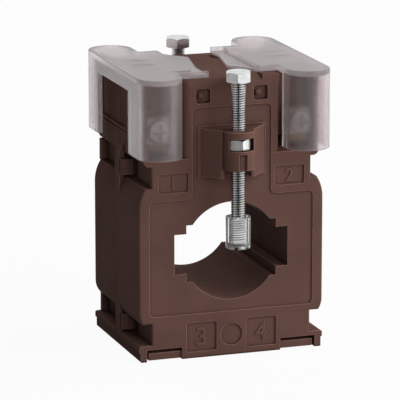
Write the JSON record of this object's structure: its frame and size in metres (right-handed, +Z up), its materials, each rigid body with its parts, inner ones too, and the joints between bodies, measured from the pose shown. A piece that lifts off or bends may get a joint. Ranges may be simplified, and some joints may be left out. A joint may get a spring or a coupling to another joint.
{
  "type": "window-type current transformer",
  "caption": "Moulded current transformer with a stepped window for a cable or busbars, long clamp screws with caps and clear clip-on terminal covers.",
  "frame": {"origin": "centre of the base's underside", "axes": "+Z up from the base to the terminals, +Y from the front face to the rear face along the conductor, +X to the right seen from the front"},
  "size_m": [0.068, 0.0734, 0.1001],
  "materials": {
    "housing_plastic": "semi-gloss brown moulding",
    "clear_plastic": "clear moulding, slightly milky",
    "plated_steel": "bright zinc plating",
    "cap_plastic": "clear moulding",
    "terminal_brass": "plain",
    "copper_wire": "enamelled copper",
    "core_steel": "wound electrical steel",
    "wrap_film": "insulating film",
    "tape": "insulating tape"
  },
  "bodies": {
    "housing": {"front_shell": "housing_plastic", "rear_shell": "housing_plastic", "ring_core": "core_steel", "core_wrap": "wrap_film", "secondary_winding": "copper_wire", "outer_tape": "tape", "right_lead": "copper_wire", "left_lead": "copper_wire", "right_terminal_strip": "terminal_brass", "left_terminal_strip": "terminal_brass", "front_clamp_nut": "plated_steel", "rear_clamp_nut": "plated_steel"},
    "front_cap": {"front_screw_cap": "cap_plastic"},
    "front_screw": {"front_clamp_screw": "plated_steel"},
    "rear_cap": {"rear_screw_cap": "cap_plastic"},
    "rear_screw": {"rear_clamp_screw": "plated_steel"},
    "front_left_terminal_washer": {"front_left_terminal_washer": "plated_steel"},
    "front_left_terminal_screw": {"front_left_terminal_screw": "plated_steel"},
    "front_right_terminal_washer": {"front_right_terminal_washer": "plated_steel"},
    "front_right_terminal_screw": {"front_right_terminal_screw": "plated_steel"},
    "rear_left_terminal_washer": {"rear_left_terminal_washer": "plated_steel"},
    "rear_left_terminal_screw": {"rear_left_terminal_screw": "plated_steel"},
    "rear_right_terminal_washer": {"rear_right_terminal_washer": "plated_steel"},
    "rear_right_terminal_screw": {"rear_right_terminal_screw": "plated_steel"},
    "left_cover": {"left_cover": "clear_plastic"},
    "right_cover": {"right_cover": "clear_plastic"}
  },
  "joints": [
    {"name": "front_clamp_feed", "type": "slide", "parent": "housing", "child": "front_cap", "axis": [0, 0, -1], "range_m": [-0.016, 0.015]},
    {"name": "front_clamp_turn", "type": "hinge", "parent": "front_cap", "child": "front_screw", "pos_m": [0, -0.0313, 0.07], "axis": [0, 0, -1], "range_deg": [-7201, 6751]},
    {"name": "rear_clamp_feed", "type": "slide", "parent": "housing", "child": "rear_cap", "axis": [0, 0, -1], "range_m": [-0.0152, 0.015]},
    {"name": "rear_clamp_turn", "type": "hinge", "parent": "rear_cap", "child": "rear_screw", "pos_m": [0, 0.0313, 0.07], "axis": [0, 0, -1], "range_deg": [-6841, 6751]},
    {"name": "front_left_terminal_feed", "type": "slide", "parent": "housing", "child": "front_left_terminal_washer", "axis": [0, -1, 0], "range_m": [0, 0.003]},
    {"name": "front_left_terminal_turn", "type": "hinge", "parent": "front_left_terminal_washer", "child": "front_left_terminal_screw", "pos_m": [-0.025, -0.0215, 0.079], "axis": [0, -1, 0], "range_deg": [0, 1544]},
    {"name": "front_right_terminal_feed", "type": "slide", "parent": "housing", "child": "front_right_terminal_washer", "axis": [0, -1, 0], "range_m": [0, 0.003]},
    {"name": "front_right_terminal_turn", "type": "hinge", "parent": "front_right_terminal_washer", "child": "front_right_terminal_screw", "pos_m": [0.025, -0.0215, 0.079], "axis": [0, -1, 0], "range_deg": [0, 1544]},
    {"name": "rear_left_terminal_feed", "type": "slide", "parent": "housing", "child": "rear_left_terminal_washer", "axis": [0, 1, 0], "range_m": [0, 0.003]},
    {"name": "rear_left_terminal_turn", "type": "hinge", "parent": "rear_left_terminal_washer", "child": "rear_left_terminal_screw", "pos_m": [-0.025, 0.0215, 0.079], "axis": [0, 1, 0], "range_deg": [0, 1544]},
    {"name": "rear_right_terminal_feed", "type": "slide", "parent": "housing", "child": "rear_right_terminal_washer", "axis": [0, 1, 0], "range_m": [0, 0.003]},
    {"name": "rear_right_terminal_turn", "type": "hinge", "parent": "rear_right_terminal_washer", "child": "rear_right_terminal_screw", "pos_m": [0.025, 0.0215, 0.079], "axis": [0, 1, 0], "range_deg": [0, 1544]},
    {"name": "left_cover_lift", "type": "slide", "parent": "housing", "child": "left_cover", "axis": [0, 0, 1], "range_m": [0, 0.03]},
    {"name": "right_cover_lift", "type": "slide", "parent": "housing", "child": "right_cover", "axis": [0, 0, 1], "range_m": [0, 0.03]}
  ],
  "couplings": [
    {"joint": "front_clamp_turn", "follows": "front_clamp_feed", "rad_per_m": 7854},
    {"joint": "rear_clamp_turn", "follows": "rear_clamp_feed", "rad_per_m": 7854},
    {"joint": "front_left_terminal_turn", "follows": "front_left_terminal_feed", "rad_per_m": 8976},
    {"joint": "front_right_terminal_turn", "follows": "front_right_terminal_feed", "rad_per_m": 8976},
    {"joint": "rear_left_terminal_turn", "follows": "rear_left_terminal_feed", "rad_per_m": 8976},
    {"joint": "rear_right_terminal_turn", "follows": "rear_right_terminal_feed", "rad_per_m": 8976}
  ]
}
